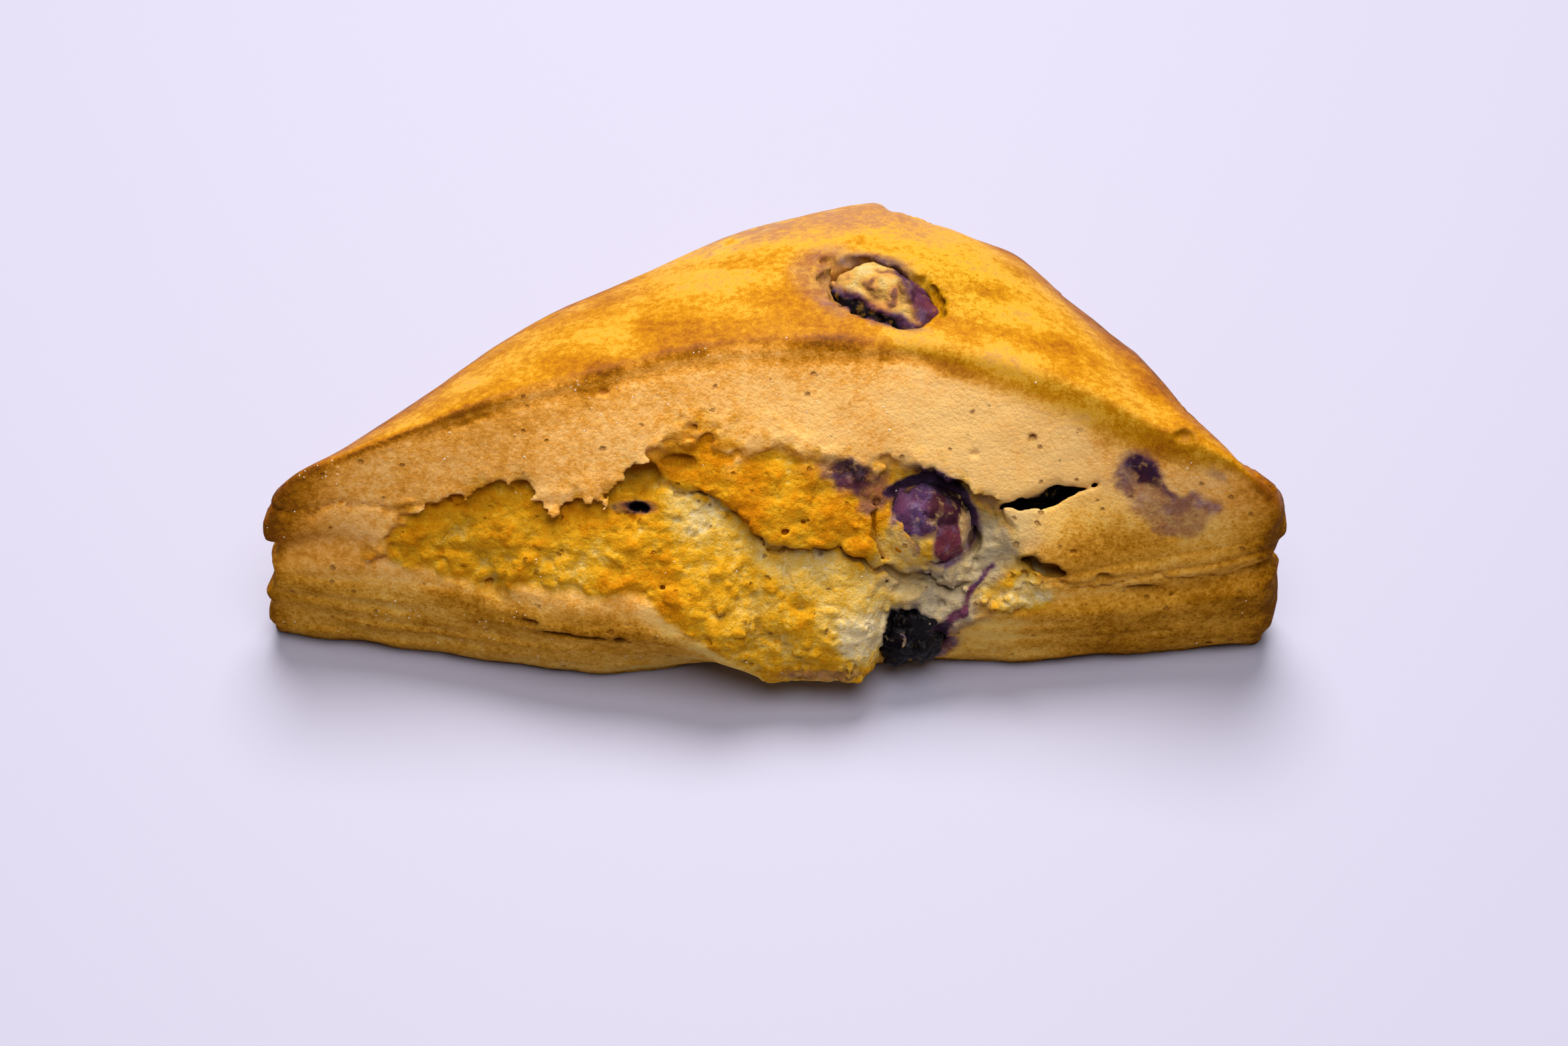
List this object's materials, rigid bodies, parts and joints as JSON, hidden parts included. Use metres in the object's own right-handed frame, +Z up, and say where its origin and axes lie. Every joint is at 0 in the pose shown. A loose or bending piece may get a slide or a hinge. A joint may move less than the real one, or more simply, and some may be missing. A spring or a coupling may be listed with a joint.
{
  "type": "scone",
  "caption": "Triangular fruit scone: a domed wedge with a golden crust, split and burst open along its long cut side over dark berries.",
  "frame": {"origin": "middle of the flat foot, under the centre of the part's box", "axes": "+X along the long cut side, towards the ear with the berry patch; +Y from the cut side towards the right-angled tip; +Z up"},
  "size_m": [0.1402, 0.0726, 0.0412],
  "materials": {
    "crust": "baked dough: golden egg-washed top, matte cut side, pale torn crumb",
    "berry": "soft dark purple berry skin with a faint bloom"
  },
  "bodies": {
    "root": {"scone_body": "crust", "berry_top": "berry", "berry_front_upper": "berry", "berry_front_lower": "berry", "berry_front_left": "berry", "berry_right": "berry"}
  },
  "joints": []
}
